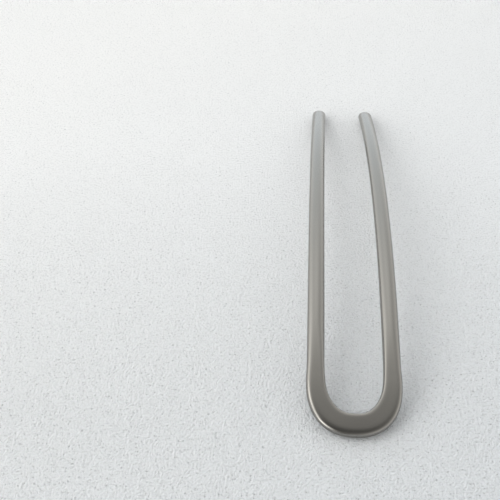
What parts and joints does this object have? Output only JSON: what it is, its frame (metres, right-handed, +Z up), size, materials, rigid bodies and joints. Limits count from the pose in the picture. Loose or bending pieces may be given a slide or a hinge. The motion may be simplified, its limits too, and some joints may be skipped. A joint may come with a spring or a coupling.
{
  "type": "hair fork",
  "caption": "U-shaped metal hair fork with slim prongs, gently arched and drawn in at rounded tips, joined by a bow pressed flat.",
  "frame": {"origin": "middle of the fork's box at the surface it lies on", "axes": "+Y along the fork from the bow to the tips, +X across the prongs, +Z up through the top of the arch"},
  "size_m": [0.0214, 0.1214, 0.0103],
  "materials": {
    "satin_metal": "satin, warm grey, very fine tumbled grain with no polish lines"
  },
  "bodies": {
    "root": {"fork": "satin_metal"}
  },
  "joints": []
}
